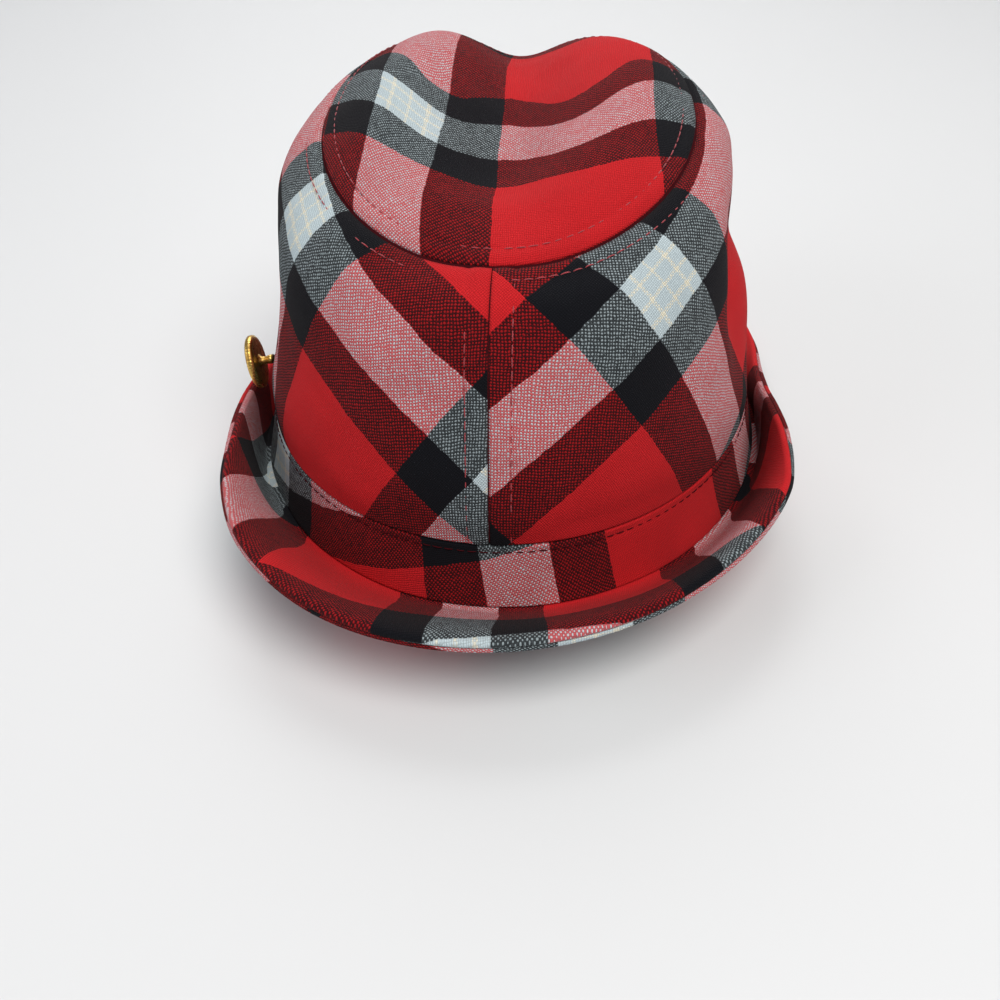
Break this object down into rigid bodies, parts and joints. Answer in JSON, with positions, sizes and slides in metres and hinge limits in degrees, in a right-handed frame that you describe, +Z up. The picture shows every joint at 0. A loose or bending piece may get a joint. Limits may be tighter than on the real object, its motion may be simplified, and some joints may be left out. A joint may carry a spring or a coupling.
{
  "type": "fedora hat",
  "caption": "Soft plaid cloth fedora with a dented crown, a self-fabric band with a gold disc button, and a brim turned up at the back and sides and snapped down in front.",
  "frame": {"origin": "middle of the hat's bounding box in plan, at the height of the surface it rests on", "axes": "+Z up, +Y toward the back of the hat, +X toward the wearer's left"},
  "size_m": [0.1948, 0.284, 0.1244],
  "materials": {
    "brim_top": "matte",
    "brim_under": "matte",
    "button": "polished",
    "crown_tip": "matte",
    "hatband": "matte",
    "side_panel_left": "matte",
    "side_panel_right": "matte"
  },
  "bodies": {
    "root": {"brim_top": "brim_top", "brim_under": "brim_under", "button": "button", "crown_tip": "crown_tip", "hatband": "hatband", "side_panel_left": "side_panel_left", "side_panel_right": "side_panel_right"}
  },
  "joints": []
}
